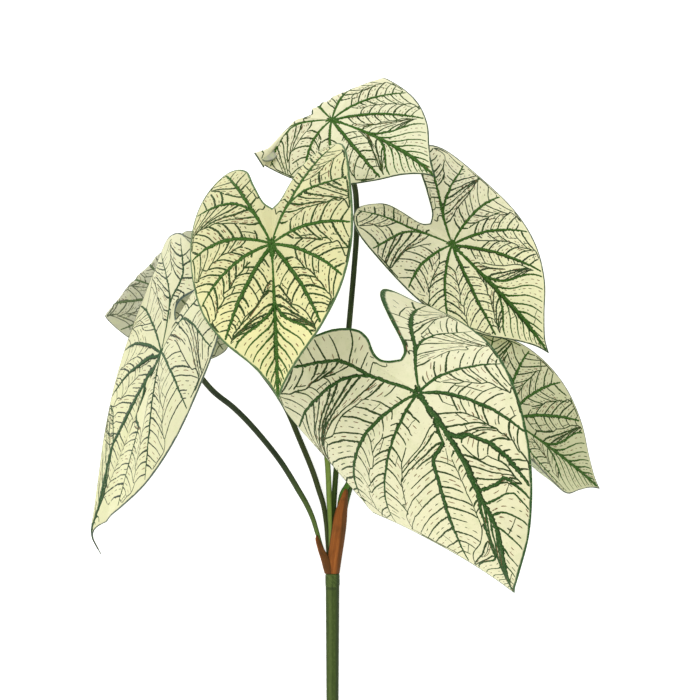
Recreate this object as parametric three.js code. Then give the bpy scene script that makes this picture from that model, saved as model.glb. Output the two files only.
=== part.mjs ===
// A cut caladium spray: seven heart-shaped leaves on slim petioles that leave one stem between
// two papery sheaths. It lies on its back, stem along -Y, on the plane z = 0. While the pieces are
// worked out, the stem is at x = 0 and its top near y = 0; the group is then moved so that the origin
// is the middle of the footprint. Sizes are in millimetres, angles in degrees.
import * as THREE from 'three';

const rad = THREE.MathUtils.degToRad;
const { clamp, lerp, smoothstep } = THREE.MathUtils;

const SEAT_GAP = 0.3; // clearance between pieces that meet

// ---- stem ----
const STEM_LENGTH = 182.5;
const STEM_TOP = -4.5; // where it ends along Y
const STEM_TOP_RADIUS = 5.3;
const STEM_END_RADIUS = 4.2;
const COLLAR_RADIUS = 5.6;
const COLLAR_LENGTH = 10;
const COLLAR_BEVEL = 2; // how long the slopes at its two ends are
const STEM_SIDES = 24;
const CUT_EDGE = 0.4; // rounding of the cut end

// ---- petioles ----
const PETIOLE_FOOT_RADIUS = 1.4;
const PETIOLE_RADIUS = 2.2;
const PETIOLE_TOP_RADIUS = 1.8;
const FOOT_LENGTH = 70; // from the foot's radius to the full one
const FOOT_RISE = 4; // how far it leaves the stem square
const NECK_LENGTH = 60; // from the full radius to the one under the blade
const PETIOLE_SIDES = 8;
const PETIOLE_STEP = 14;
const BUNDLE_RADIUS = 3.2; // six feet stand on this circle, round the seventh

// ---- sheaths ----
const SHEATH_WALL = 0.7;
const SHEATH_ROWS = 12;
const SHEATH_COLUMNS = 8;

// ---- leaf blades ----
const BLADE = 0.8;
const RIB = 0.5; // extra thickness of the main veins where the petiole meets them
const QUILT = 1; // rise of the blade between two main veins
const RINGS = 10;
const SECTORS = 6; // a main vein ends at each whole number of sectors from the tip
const SPOKES = [4, 3, 3, 3, 3, 4]; // spokes in each sector, from the tip to the notch

// Half of the heart outline from the tip to the notch, in leaf lengths: across the midrib, and along
// it, where minus is toward the tip and plus toward the lobes.
const OUTLINE = [
  [0, -1], [0.045, -0.9], [0.14, -0.77], [0.29, -0.6], [0.43, -0.37], [0.515, -0.1], [0.53, 0.17],
  [0.47, 0.42], [0.33, 0.57], [0.2, 0.54], [0.12, 0.36], [0.055, 0.2], [0, 0.145],
];
const NOTCH = 0.145; // the notch's depth in that outline
const VEIN_ENDS = [0, 3, 4.15, 5.35, 6.5, 7.9, 12]; // where main veins meet it, in outline steps
const VEIN_BOW = 22; // how far a main vein swings toward the lobes on its way to the margin
const BOW_SPAN = 165;
const LOBE_RISE = 0.35; // how far past the notch the lobes take their own shape
const LOBE_SPAN = 0.6; // from the petiole to the end of a lobe

// Each leaf is drawn flat, creased and curled about its midrib, bent down toward tip and lobes,
// rolled at its own sharper bends, then turned and set down on its petiole.
//   at            where the petiole meets the blade
//   turn          heading of the tip, from -Y toward +X
//   dip, roll     tip down, right-hand side down
//   length        petiole to tip; width and lobe are factors for its left and right halves
//   notch, tail   depth of the notch, and the thin end past the tip, in leaf lengths
//   lap           how far each lobe reaches over the other, in leaf lengths
//   sweep, twist  sideways curve of the midrib, and turn about it, from petiole to tip
//   droop         bend of the tip down, lobeDroop of the two lobes
//   fold, curl    slope of each half at the midrib, and how much further it turns to the margin
//   bends         where they start in leaf lengths, the way they face from +X, radius and angle
//   foot, route   where the petiole stands in the bundle, and its way from there
//   neck          the petiole's last stretch, square to the blade
const LEAVES = {
  front: {
    at: [-41.5, 242.5, 178], turn: 4, dip: -21, roll: -25, length: 123, width: [1.03, 1],
    lobe: [1.01, 1.26], notch: 0.24, tail: 0, lap: [0, 0], sweep: 4, twist: 6, droop: -12,
    lobeDroop: [38, 44], fold: [-35, -9], curl: [58, 14], bends: [], foot: 90, neck: 14,
    route: [
      [-1.5, 18, 8.3], [-1.5, 29.5, 8.5], [-2, 41, 10.5], [-2.5, 53, 13.5], [-3, 68.5, 18.5],
      [-4, 85.5, 26], [-7, 107.5, 37], [-12, 134, 47], [-17.5, 163, 55], [-23, 190, 65],
      [-26.5, 210, 90], [-29.5, 226, 132],
    ],
  },
  centre: {
    at: [62.4, 137.5, 166], turn: 28, dip: -35, roll: -16, length: 192, width: [1.41, 0.65],
    lobe: [0.78, 1.15], notch: 0.17, tail: 0, lap: [0.27, 0.08], sweep: -33, twist: -30, droop: 64,
    lobeDroop: [-45, 35], fold: [3, 29], curl: [52, 8], bends: [], foot: 30, neck: 15,
    route: [
      [2.5, 11.5, 8.2], [4, 27, 9.5], [4.8, 39, 10.6], [6, 51, 11.6], [8, 58.5, 12.8],
      [10.5, 62.5, 13.8], [14.5, 69, 16.5], [19.5, 76.5, 23.5], [27, 87, 38], [42, 108, 66],
    ],
  },
  upper_right: {
    at: [91, 247.8, 34.6], turn: 45, dip: 0, roll: 16, length: 111, width: [1, 1.1],
    lobe: [1.07, 1.03], notch: 0.21, tail: 0, lap: [0.12, 0], sweep: -4, twist: -15, droop: 8,
    lobeDroop: [44, -31], fold: [-16, -4], curl: [-2, 31], bends: [], foot: 270, neck: 12,
    route: [
      [1, 11.5, 2.3], [3.4, 27, 2.4], [6, 43, 3], [10.5, 60, 4.4], [19, 83, 6.5], [36.5, 122, 10],
      [63.5, 179.5, 13], [82, 222, 16],
    ],
  },
  top: {
    at: [0, 340, 62], turn: 70, dip: -26, roll: 32, length: 105, width: [0.95, 1.05],
    lobe: [1.17, 1], notch: 0.17, tail: 0, lap: [0, 0], sweep: -23, twist: -1, droop: -4,
    lobeDroop: [4, 0], fold: [1, -6], curl: [49, 18], foot: 0, neck: 7,
    bends: [{ start: [0.06, 0.125], toward: 62, radius: 9, angle: 165 }],
    route: [
      [0, 17.5, 5.2], [0.4, 29, 4.9], [1, 48.5, 7], [2.5, 72, 10], [6, 106.5, 14], [9, 137.5, 17],
      [12.5, 183.5, 19], [16.5, 229, 19], [18.5, 258, 19], [18.5, 277, 23], [17, 292, 36],
      [12.5, 305, 48], [6.5, 319, 57],
    ],
  },
  left: {
    at: [-124.5, 166, 100], turn: -23, dip: 19, roll: -63, length: 165, width: [0.96, 1.1],
    lobe: [0.88, 0.9], notch: 0.17, tail: 0.19, lap: [0.34, 0.1], sweep: -15, twist: 3, droop: 8,
    lobeDroop: [-10, 18], fold: [-6, -19], curl: [18, 28], foot: 150, neck: 14,
    bends: [{ start: [0, -0.96], toward: 270, radius: 30, angle: 36 }],
    route: [
      [-9.4, 19, 8.6], [-11.7, 27.2, 9.6], [-15.1, 38.5, 11.5], [-19.6, 49, 14], [-26, 60.5, 17],
      [-39.5, 83, 26], [-60, 109.5, 41], [-74, 124.5, 53], [-88, 136.5, 67],
    ],
  },
  lower_right: {
    at: [132.4, 116, 48.5], turn: 57.5, dip: 22, roll: 31, length: 104, width: [1.19, 1.16],
    lobe: [1, 1], notch: 0.17, tail: 0, lap: [0, 0], sweep: -1, twist: -11, droop: 13,
    lobeDroop: [25, 25], fold: [-12, 2], curl: [-52, -3], bends: [], foot: 330, neck: 12,
    route: [
      [3.5, 11.5, 4.6], [6.2, 27, 5.2], [8.3, 39, 6], [10.5, 50.5, 7.6], [12.5, 58.5, 8.8],
      [15.5, 67, 10], [24, 80.5, 12], [52, 94, 17], [101, 105.5, 28],
    ],
  },
  back_left: {
    at: [-122, 212.5, 24], turn: -108, dip: 0, roll: 4, length: 92, width: [1, 1], lobe: [1, 1],
    notch: 0.17, tail: 0, lap: [0, 0], sweep: 0, twist: 0, droop: -6, lobeDroop: [2, 2],
    fold: [0, 0], curl: [6, 6], foot: 210, neck: 5,
    bends: [{ start: [0, -0.26], toward: 246, radius: 5, angle: 172 }],
    route: [
      [-4, 21.5, 4.4], [-5, 35.5, 5], [-7, 48.5, 5.5], [-10.5, 60, 6.5], [-15, 74, 7.5],
      [-25, 98.5, 8], [-37.5, 126.5, 8], [-59, 157, 8], [-85, 189.5, 9], [-104, 202, 12],
      [-116, 209, 14.5],
    ],
  },
};

// A sheath is a curled scale round a centre line that leaves the stem with the petioles: at each
// station the centre, the radius and the scale's two edges, as angles from +X toward +Z. The blunt
// end rounds off its far corners.
const SHEATHS = {
  tall: {
    blunt: 0.12,
    stations: [
      { at: [0.2, STEM_TOP + SEAT_GAP, 5.8], radius: 5.6, edges: [-40, 130] },
      { at: [1.6, 8, 6.6], radius: 6, edges: [-34, 146] },
      { at: [3.1, 19, 7.5], radius: 6.2, edges: [-28, 152] },
      { at: [4.8, 31, 8.8], radius: 6.1, edges: [-20, 155] },
      { at: [6.3, 42, 10], radius: 5.5, edges: [-8, 158] },
      { at: [8.1, 51.5, 12.4], radius: 4.1, edges: [-10, 152] },
      { at: [9.4, 57.5, 15], radius: 3, edges: [0, 142] },
      { at: [10, 61.5, 17], radius: 2.5, edges: [20, 130] },
    ],
  },
  short: {
    blunt: 0.15,
    stations: [
      { at: [-0.4, STEM_TOP + SEAT_GAP, 5.8], radius: 6, edges: [136, 250] },
      { at: [-4.4, 7, 6.6], radius: 5, edges: [92, 247] },
      { at: [-7.8, 14, 7.7], radius: 3.8, edges: [72, 240] },
      { at: [-10.2, 20, 9], radius: 2.9, edges: [64, 205] },
      { at: [-11.3, 25.5, 9.8], radius: 2.9, edges: [85, 130] },
    ],
  },
};

// ---- a leaf's surface ----
// A point of the blade is named by its sector, 0 at the tip to 6 at the notch on the right and
// 0 to -6 on the left, and by reach, 0 at the petiole to 1 at the margin.

function outlineOf(leaf) {
  const points = OUTLINE.map(([across, along]) => new THREE.Vector2(across, along));
  const deeper = leaf.notch - NOTCH;
  [0.4, 0.85, 1].forEach((share, i) => {
    points[points.length - 3 + i].y += share * deeper;
  });
  if (leaf.tail > 0) {
    points[0].y -= leaf.tail;
    points[1].set(0.016, -1);
    points[2].set(0.12, -0.82);
  }
  return new THREE.SplineCurve(points);
}

function sinc(angle) {
  return Math.abs(angle) < 1e-9 ? 1 : Math.sin(angle) / angle;
}

function flatPoint(leaf, outline, sector, reach) {
  const side = sector < 0 ? -1 : 1;
  const half = sector < 0 ? 0 : 1;
  const place = Math.abs(sector);
  const k = Math.min(Math.floor(place), SECTORS - 1);
  const step = lerp(VEIN_ENDS[k], VEIN_ENDS[k + 1], place - k);
  const edge = outline.getPoint(step / (OUTLINE.length - 1));
  const angle = Math.atan2(edge.x, -edge.y);
  const bow = rad(VEIN_BOW) * Math.sin(Math.PI * clamp(angle / rad(BOW_SPAN), 0, 1));
  const swung = angle + bow * (1 - reach);
  const far = reach * edge.length();
  const along = -far * Math.cos(swung);
  const lobeShare = smoothstep(along, leaf.notch, leaf.notch + LOBE_RISE);
  const out = far * Math.sin(swung) * leaf.width[half];
  const lapped = out - leaf.lap[half] * lobeShare * Math.max(0, 1 - out / 0.5);
  const x = side * lapped * leaf.length;
  const y = along * (1 + (leaf.lobe[half] - 1) * lobeShare) * leaf.length;
  if (y >= 0) return { x, y, half };
  const swept = rad(leaf.sweep) * (-y / leaf.length);
  const chord = -y * sinc(swept / 2);
  const turned = chord * Math.sin(swept / 2) + x * Math.cos(swept);
  return {
    x: turned,
    y: -chord * Math.cos(swept / 2) + x * Math.sin(swept),
    half: turned < 0 ? 0 : 1,
  };
}

// The flat blade creased and curled about its midrib, then arched along it and twisted.
function archedPoint(leaf, { x, y, half }) {
  const side = half === 0 ? -1 : 1;
  const wide = side * x;
  const turned = rad(leaf.curl[half]) * (wide / (0.5 * leaf.length));
  const slope = rad(leaf.fold[half]) + turned / 2;
  const chord = wide * sinc(turned / 2);
  const across = side * chord * Math.cos(slope);
  const rise = -chord * Math.sin(slope);
  const toTip = y < 0;
  const rightShare = smoothstep(0.5 + x / (0.3 * leaf.length), 0, 1);
  const lobeDroop = lerp(leaf.lobeDroop[0], leaf.lobeDroop[1], rightShare);
  const arch = toTip ? leaf.droop * -y : lobeDroop * (y / LOBE_SPAN);
  const bend = rad(arch / leaf.length);
  const reach = Math.abs(y) * sinc(bend / 2);
  const twist = rad(leaf.twist) * (-y / leaf.length);
  const lift = rise * Math.cos(twist) - across * Math.sin(twist);
  return new THREE.Vector3(
    across * Math.cos(twist) + rise * Math.sin(twist),
    (toTip ? -1 : 1) * (reach * Math.cos(bend / 2) + lift * Math.sin(bend)),
    lift * Math.cos(bend) - reach * Math.sin(bend / 2),
  );
}

// Rolls what lies past a line of the blade down round a cylinder.
function rollPast(leaf, point, { start, toward, radius, angle }) {
  const [x, y] = start.map((share) => share * leaf.length);
  const from = archedPoint(leaf, { x, y, half: x < 0 ? 0 : 1 });
  const way = new THREE.Vector3(Math.cos(rad(toward)), Math.sin(rad(toward)), 0);
  const past = point.clone().sub(from).dot(way);
  if (past <= 0) return;
  const rolled = clamp(past / radius, 0, rad(angle));
  const rest = past - radius * rolled;
  const arm = radius + point.z - from.z;
  point.addScaledVector(way, arm * Math.sin(rolled) + rest * Math.cos(rolled) - past);
  point.z = from.z - radius + arm * Math.cos(rolled) - rest * Math.sin(rolled);
}

function attitude(leaf) {
  const turns = new THREE.Euler(rad(leaf.dip), rad(leaf.roll), rad(leaf.turn), 'ZXY');
  return new THREE.Matrix4().makeRotationFromEuler(turns).setPosition(...leaf.at);
}

function leafPoint(leaf, outline, sector, reach) {
  const point = archedPoint(leaf, flatPoint(leaf, outline, sector, reach));
  leaf.bends.forEach((bend) => rollPast(leaf, point, bend));
  return point.applyMatrix4(attitude(leaf));
}

// ---- solids from a sheet of points ----
function meshOf(points, triangles) {
  const geometry = new THREE.BufferGeometry().setFromPoints(points);
  geometry.setIndex(triangles.flat());
  geometry.computeVertexNormals();
  return geometry;
}

// Thickens a sheet up and down by over and under, along its own normals, and closes its border,
// which is listed with the sheet on its left. Both faces are split into the same triangles.
function thicken(points, triangles, border, over, under) {
  const sheet = meshOf(points, triangles).getAttribute('normal');
  const moved = (way) => points.map((point, i) => (
    point.clone().addScaledVector(new THREE.Vector3().fromBufferAttribute(sheet, i), way(i))
  ));
  const n = points.length;
  const faces = triangles.flatMap(([a, b, c]) => [[a, b, c], [n + a, n + c, n + b]]);
  border.forEach((a, i) => {
    const b = border[(i + 1) % border.length];
    faces.push([b, a, n + a], [b, n + a, n + b]);
  });
  return meshOf([...moved(over), ...moved((i) => -under(i))], faces);
}

function leafGeometry(leaf) {
  const outline = outlineOf(leaf);
  const half = SPOKES.flatMap((count, k) => Array.from({ length: count }, (_, i) => k + i / count));
  const sectors = [...half, SECTORS, ...half.slice(1).reverse().map((s) => -s)];
  const points = [leafPoint(leaf, outline, 0, 0)];
  const ribs = [RIB];
  const quilts = [0];
  for (let ring = 1; ring <= RINGS; ring += 1) {
    const reach = ring / RINGS;
    sectors.forEach((sector) => {
      const between = Math.sin(Math.PI * sector) ** 2;
      points.push(leafPoint(leaf, outline, sector, reach));
      ribs.push(RIB * (1 - reach) * (1 - between));
      quilts.push(QUILT * between * 4 * reach * (1 - reach));
    });
  }
  const at = (ring, spoke) => 1 + (ring - 1) * sectors.length + (spoke % sectors.length);
  const triangles = sectors.map((_, s) => [0, at(1, s), at(1, s + 1)]);
  for (let ring = 1; ring < RINGS; ring += 1) {
    sectors.forEach((_, s) => {
      triangles.push([at(ring, s), at(ring + 1, s), at(ring + 1, s + 1)]);
      triangles.push([at(ring, s), at(ring + 1, s + 1), at(ring, s + 1)]);
    });
  }
  const border = sectors.map((_, s) => at(RINGS, s));
  const over = (i) => BLADE / 2 + quilts[i];
  const under = (i) => BLADE / 2 + ribs[i] - quilts[i];
  return thicken(points, triangles, border, over, under);
}

// ---- petioles ----
// A turned rod, its radius given along its length, laid along a curve.
function rodAlong(curve, radiusAt) {
  const steps = Math.round(curve.getLength() / PETIOLE_STEP);
  const profile = [new THREE.Vector2(0, 0)];
  for (let i = 0; i <= steps; i += 1) profile.push(new THREE.Vector2(radiusAt(i / steps), i / steps));
  profile.push(new THREE.Vector2(0, 1));
  const rod = new THREE.LatheGeometry(profile, PETIOLE_SIDES);
  const frames = curve.computeFrenetFrames(steps, false);
  const position = rod.getAttribute('position');
  for (let i = 0; i < position.count; i += 1) {
    const at = new THREE.Vector3().fromBufferAttribute(position, i);
    const step = Math.round(at.y * steps);
    const point = curve.getPointAt(step / steps);
    point.addScaledVector(frames.normals[step], at.z).addScaledVector(frames.binormals[step], at.x);
    position.setXYZ(i, ...point);
  }
  return rod;
}

function petioleGeometry(leaf) {
  const out = leaf === LEAVES.top ? 0 : BUNDLE_RADIUS;
  const foot = new THREE.Vector3(Math.cos(rad(leaf.foot)), 0, Math.sin(rad(leaf.foot)));
  foot.multiplyScalar(out).add(new THREE.Vector3(0, STEM_TOP + SEAT_GAP, COLLAR_RADIUS));
  const shoot = foot.clone().setY(STEM_TOP + FOOT_RISE);
  const steepest = rad(Math.max(0, ...leaf.fold));
  const under = BLADE / 2 + RIB + SEAT_GAP + PETIOLE_TOP_RADIUS * Math.tan(steepest);
  const blade = attitude(leaf);
  const seat = new THREE.Vector3(0, 0, -under).applyMatrix4(blade);
  const neck = new THREE.Vector3(0, 0, -under - leaf.neck).applyMatrix4(blade);
  const route = leaf.route.map((point) => new THREE.Vector3(...point));
  const way = [foot, shoot, ...route, neck, seat];
  const curve = new THREE.CatmullRomCurve3(way, false, 'centripetal');
  const length = curve.getLength();
  return rodAlong(curve, (t) => {
    const grown = smoothstep(t * length, 0, FOOT_LENGTH);
    const thinned = smoothstep(t * length, length - NECK_LENGTH, length);
    return lerp(lerp(PETIOLE_FOOT_RADIUS, PETIOLE_RADIUS, grown), PETIOLE_TOP_RADIUS, thinned);
  });
}

// ---- sheaths ----
function sheathGeometry({ stations, blunt }) {
  const middle = new THREE.CatmullRomCurve3(stations.map(({ at }) => new THREE.Vector3(...at)));
  const arc = new THREE.CatmullRomCurve3(
    stations.map(({ radius, edges }) => new THREE.Vector3(radius, ...edges)),
  );
  const at = (row, column) => row * (SHEATH_COLUMNS + 1) + column;
  const points = [];
  const triangles = [];
  for (let row = 0; row <= SHEATH_ROWS; row += 1) {
    for (let column = 0; column <= SHEATH_COLUMNS; column += 1) {
      const share = column / SHEATH_COLUMNS;
      const t = (row / SHEATH_ROWS) * (1 - blunt * (2 * share - 1) ** 2);
      const { x: radius, y: first, z: last } = arc.getPoint(t);
      const angle = rad(lerp(first, last, share));
      const out = new THREE.Vector3(Math.cos(angle), 0, Math.sin(angle));
      points.push(middle.getPoint(t).addScaledVector(out, radius - SHEATH_WALL / 2));
      if (row < SHEATH_ROWS && column < SHEATH_COLUMNS) {
        triangles.push([at(row, column), at(row + 1, column + 1), at(row + 1, column)]);
        triangles.push([at(row, column), at(row, column + 1), at(row + 1, column + 1)]);
      }
    }
  }
  const border = [];
  for (let column = 0; column < SHEATH_COLUMNS; column += 1) border.push(at(0, column));
  for (let row = 0; row < SHEATH_ROWS; row += 1) border.push(at(row, SHEATH_COLUMNS));
  for (let column = SHEATH_COLUMNS; column > 0; column -= 1) border.push(at(SHEATH_ROWS, column));
  for (let row = SHEATH_ROWS; row > 0; row -= 1) border.push(at(row, 0));
  const wall = () => SHEATH_WALL / 2;
  return thicken(points, triangles, border, wall, wall);
}

// ---- stem ----
// Turned about its own axis, then laid down so that collar and cut end both touch z = 0.
function stemGeometry() {
  const profile = [
    [0, -STEM_LENGTH],
    [STEM_END_RADIUS - CUT_EDGE, -STEM_LENGTH],
    [STEM_END_RADIUS, CUT_EDGE - STEM_LENGTH],
    [STEM_TOP_RADIUS, -COLLAR_LENGTH],
    [COLLAR_RADIUS, COLLAR_BEVEL - COLLAR_LENGTH],
    [COLLAR_RADIUS, -COLLAR_BEVEL],
    [STEM_TOP_RADIUS, 0],
    [0, 0],
  ];
  const stem = new THREE.LatheGeometry(profile.map(([r, y]) => new THREE.Vector2(r, y)), STEM_SIDES);
  stem.rotateY(Math.PI / STEM_SIDES); // one of its flats faces down
  const slant = (COLLAR_RADIUS - STEM_END_RADIUS) * Math.cos(Math.PI / STEM_SIDES);
  stem.rotateX(Math.atan2(slant, STEM_LENGTH - CUT_EDGE - COLLAR_LENGTH + COLLAR_BEVEL));
  stem.computeBoundingBox();
  stem.translate(0, STEM_TOP, -stem.boundingBox.min.z);
  return stem;
}

// ---- assembly ----
const STEM_GREEN = 0x55703a;
const PETIOLE_GREEN = 0x4f7f2a;
const SHEATH_BROWN = 0x8c4a22;
const BLADE_CREAM = 0xeeebc0;

function piece(name, geometry, color, roughness) {
  const mesh = new THREE.Mesh(geometry, new THREE.MeshStandardMaterial({ color, roughness, metalness: 0 }));
  mesh.name = name;
  return mesh;
}

const spray = new THREE.Group();
spray.add(piece('stem', stemGeometry(), STEM_GREEN, 0.75));
Object.entries(SHEATHS).forEach(([name, sheath]) => {
  spray.add(piece(`sheath_${name}`, sheathGeometry(sheath), SHEATH_BROWN, 0.8));
});
Object.entries(LEAVES).forEach(([name, leaf]) => {
  spray.add(piece(`petiole_${name}`, petioleGeometry(leaf), PETIOLE_GREEN, 0.6));
  spray.add(piece(`leaf_${name}`, leafGeometry(leaf), BLADE_CREAM, 0.7));
});

const bounds = new THREE.Box3().setFromObject(spray);
spray.position.copy(bounds.getCenter(new THREE.Vector3())).negate().setZ(-bounds.min.z);

export default spray;
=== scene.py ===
"""Dresses a cut caladium spray that lies on its back: veined blades, petioles, sheaths and stem."""
import math

import bmesh
import bpy
import numpy as np
from mathutils import Matrix, Vector


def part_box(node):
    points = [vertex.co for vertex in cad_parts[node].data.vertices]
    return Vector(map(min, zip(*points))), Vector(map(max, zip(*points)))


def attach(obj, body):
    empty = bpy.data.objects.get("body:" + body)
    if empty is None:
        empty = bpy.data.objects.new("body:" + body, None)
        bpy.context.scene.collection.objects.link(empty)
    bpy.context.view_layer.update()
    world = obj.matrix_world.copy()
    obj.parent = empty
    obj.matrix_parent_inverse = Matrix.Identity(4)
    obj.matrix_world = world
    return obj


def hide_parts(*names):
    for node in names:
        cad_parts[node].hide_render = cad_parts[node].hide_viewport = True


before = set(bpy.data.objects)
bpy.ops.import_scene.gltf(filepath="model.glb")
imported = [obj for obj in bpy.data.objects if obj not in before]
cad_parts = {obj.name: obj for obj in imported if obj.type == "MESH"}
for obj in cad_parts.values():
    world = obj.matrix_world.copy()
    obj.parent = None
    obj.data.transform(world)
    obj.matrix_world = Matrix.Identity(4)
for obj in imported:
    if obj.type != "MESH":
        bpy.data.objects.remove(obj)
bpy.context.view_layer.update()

bl_info = {
    "name": "Caladium spray",
    "version": (1, 0, 0),
    "blender": (4, 5, 0),
    "location": "3D View > Sidebar > Spray",
    "description": "Veined heart-shaped leaves on slim petioles, between two papery sheaths",
    "category": "Object",
}

stem_low, stem_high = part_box("stem")

MM = 0.001  # the tables below are in millimetres, the stem at x = 0 and its top at STEM_TOP
STEM_TOP = -4.5
ORIGIN = np.array([(stem_low.x + stem_high.x) / 2, stem_high.y - STEM_TOP * MM, stem_low.z])
SEAT_GAP = 0.3  # clearance between pieces that meet
BODY = "root"

# ---- leaf blades ----
# Half of the heart outline from the tip to the notch, in leaf lengths: across the midrib, and along
# it, where minus is toward the tip and plus toward the lobes.
OUTLINE = [
    [0, -1], [0.045, -0.9], [0.14, -0.77], [0.29, -0.6], [0.43, -0.37], [0.515, -0.1], [0.53, 0.17],
    [0.47, 0.42], [0.33, 0.57], [0.2, 0.54], [0.12, 0.36], [0.055, 0.2], [0, 0.145],
]
NOTCH = 0.145  # the notch's depth in that outline
NOTCH_SHARES = [0.4, 0.85, 1]  # how far its last three points go along with a deeper one
TAILED = [[0.016, -1], [0.12, -0.82]]  # its second and third points in a leaf with a tail
HALF_WIDTH = 0.5  # usual half width in leaf lengths, over which a half's curl counts
SECTORS = 6
RIB = 0.5  # extra thickness of the main veins where the petiole meets them
QUILT = 1  # rise of the blade between two main veins
VEIN_ENDS = [0, 3, 4.15, 5.35, 6.5, 7.9, 12]  # where main veins meet it, in outline steps
VEIN_BOW = 22  # how far a main vein swings toward the lobes on its way to the margin
BOW_SPAN = 165
LOBE_RISE = 0.35  # how far past the notch the lobes take their own shape
LOBE_SPAN = 0.6  # from the petiole to the end of a lobe
LOBE_BLEND = 0.3  # width across the midrib over which one lobe's droop turns into the other's

# Each leaf is drawn flat, creased and curled about its midrib, bent down toward tip and lobes,
# rolled at its own sharper bends, then turned and set down on its petiole. Angles are in degrees.
#   at            where the petiole meets the blade
#   turn          heading of the tip, from -Y toward +X
#   dip, roll     tip down, right-hand side down
#   length        petiole to tip; width and lobe are factors for its left and right halves
#   notch, tail   depth of the notch, and the thin end past the tip, in leaf lengths
#   lap           how far each lobe reaches over the other, in leaf lengths
#   sweep, twist  sideways curve of the midrib, and turn about it, from petiole to tip
#   droop         bend of the tip down, lobe_droop of the two lobes
#   fold, curl    slope of each half at the midrib, and how much further it turns to the margin
#   bends         where they start in leaf lengths, the way they face from +X, radius and angle
#   foot, route   where the petiole stands in the bundle, and its way from there
#   neck          the petiole's last stretch, square to the blade
# How its veins run, where they do so otherwise:
#   swing         how far the ones near its midrib swing to the right on their way, in sectors
#   branch        for each side, where its first vein leaves the midrib, and over what reach
#   ends          for a side and a vein, the sector where it ends
#   minor         how much later the lesser veins leave the midrib
#   girth         factor for the width of all veins, and midrib one more for that of the midrib


def leaf_of(**own):
    """A leaf's values: its own, and the usual ones for the rest."""
    usual = dict(
        width=[1, 1], lobe=[1, 1], notch=0.17, tail=0, lap=[0, 0], bends=[],
        swing=0, branch=[None, None], ends={}, minor=0, girth=1, midrib=1,
    )
    return {**usual, **own}


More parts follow.
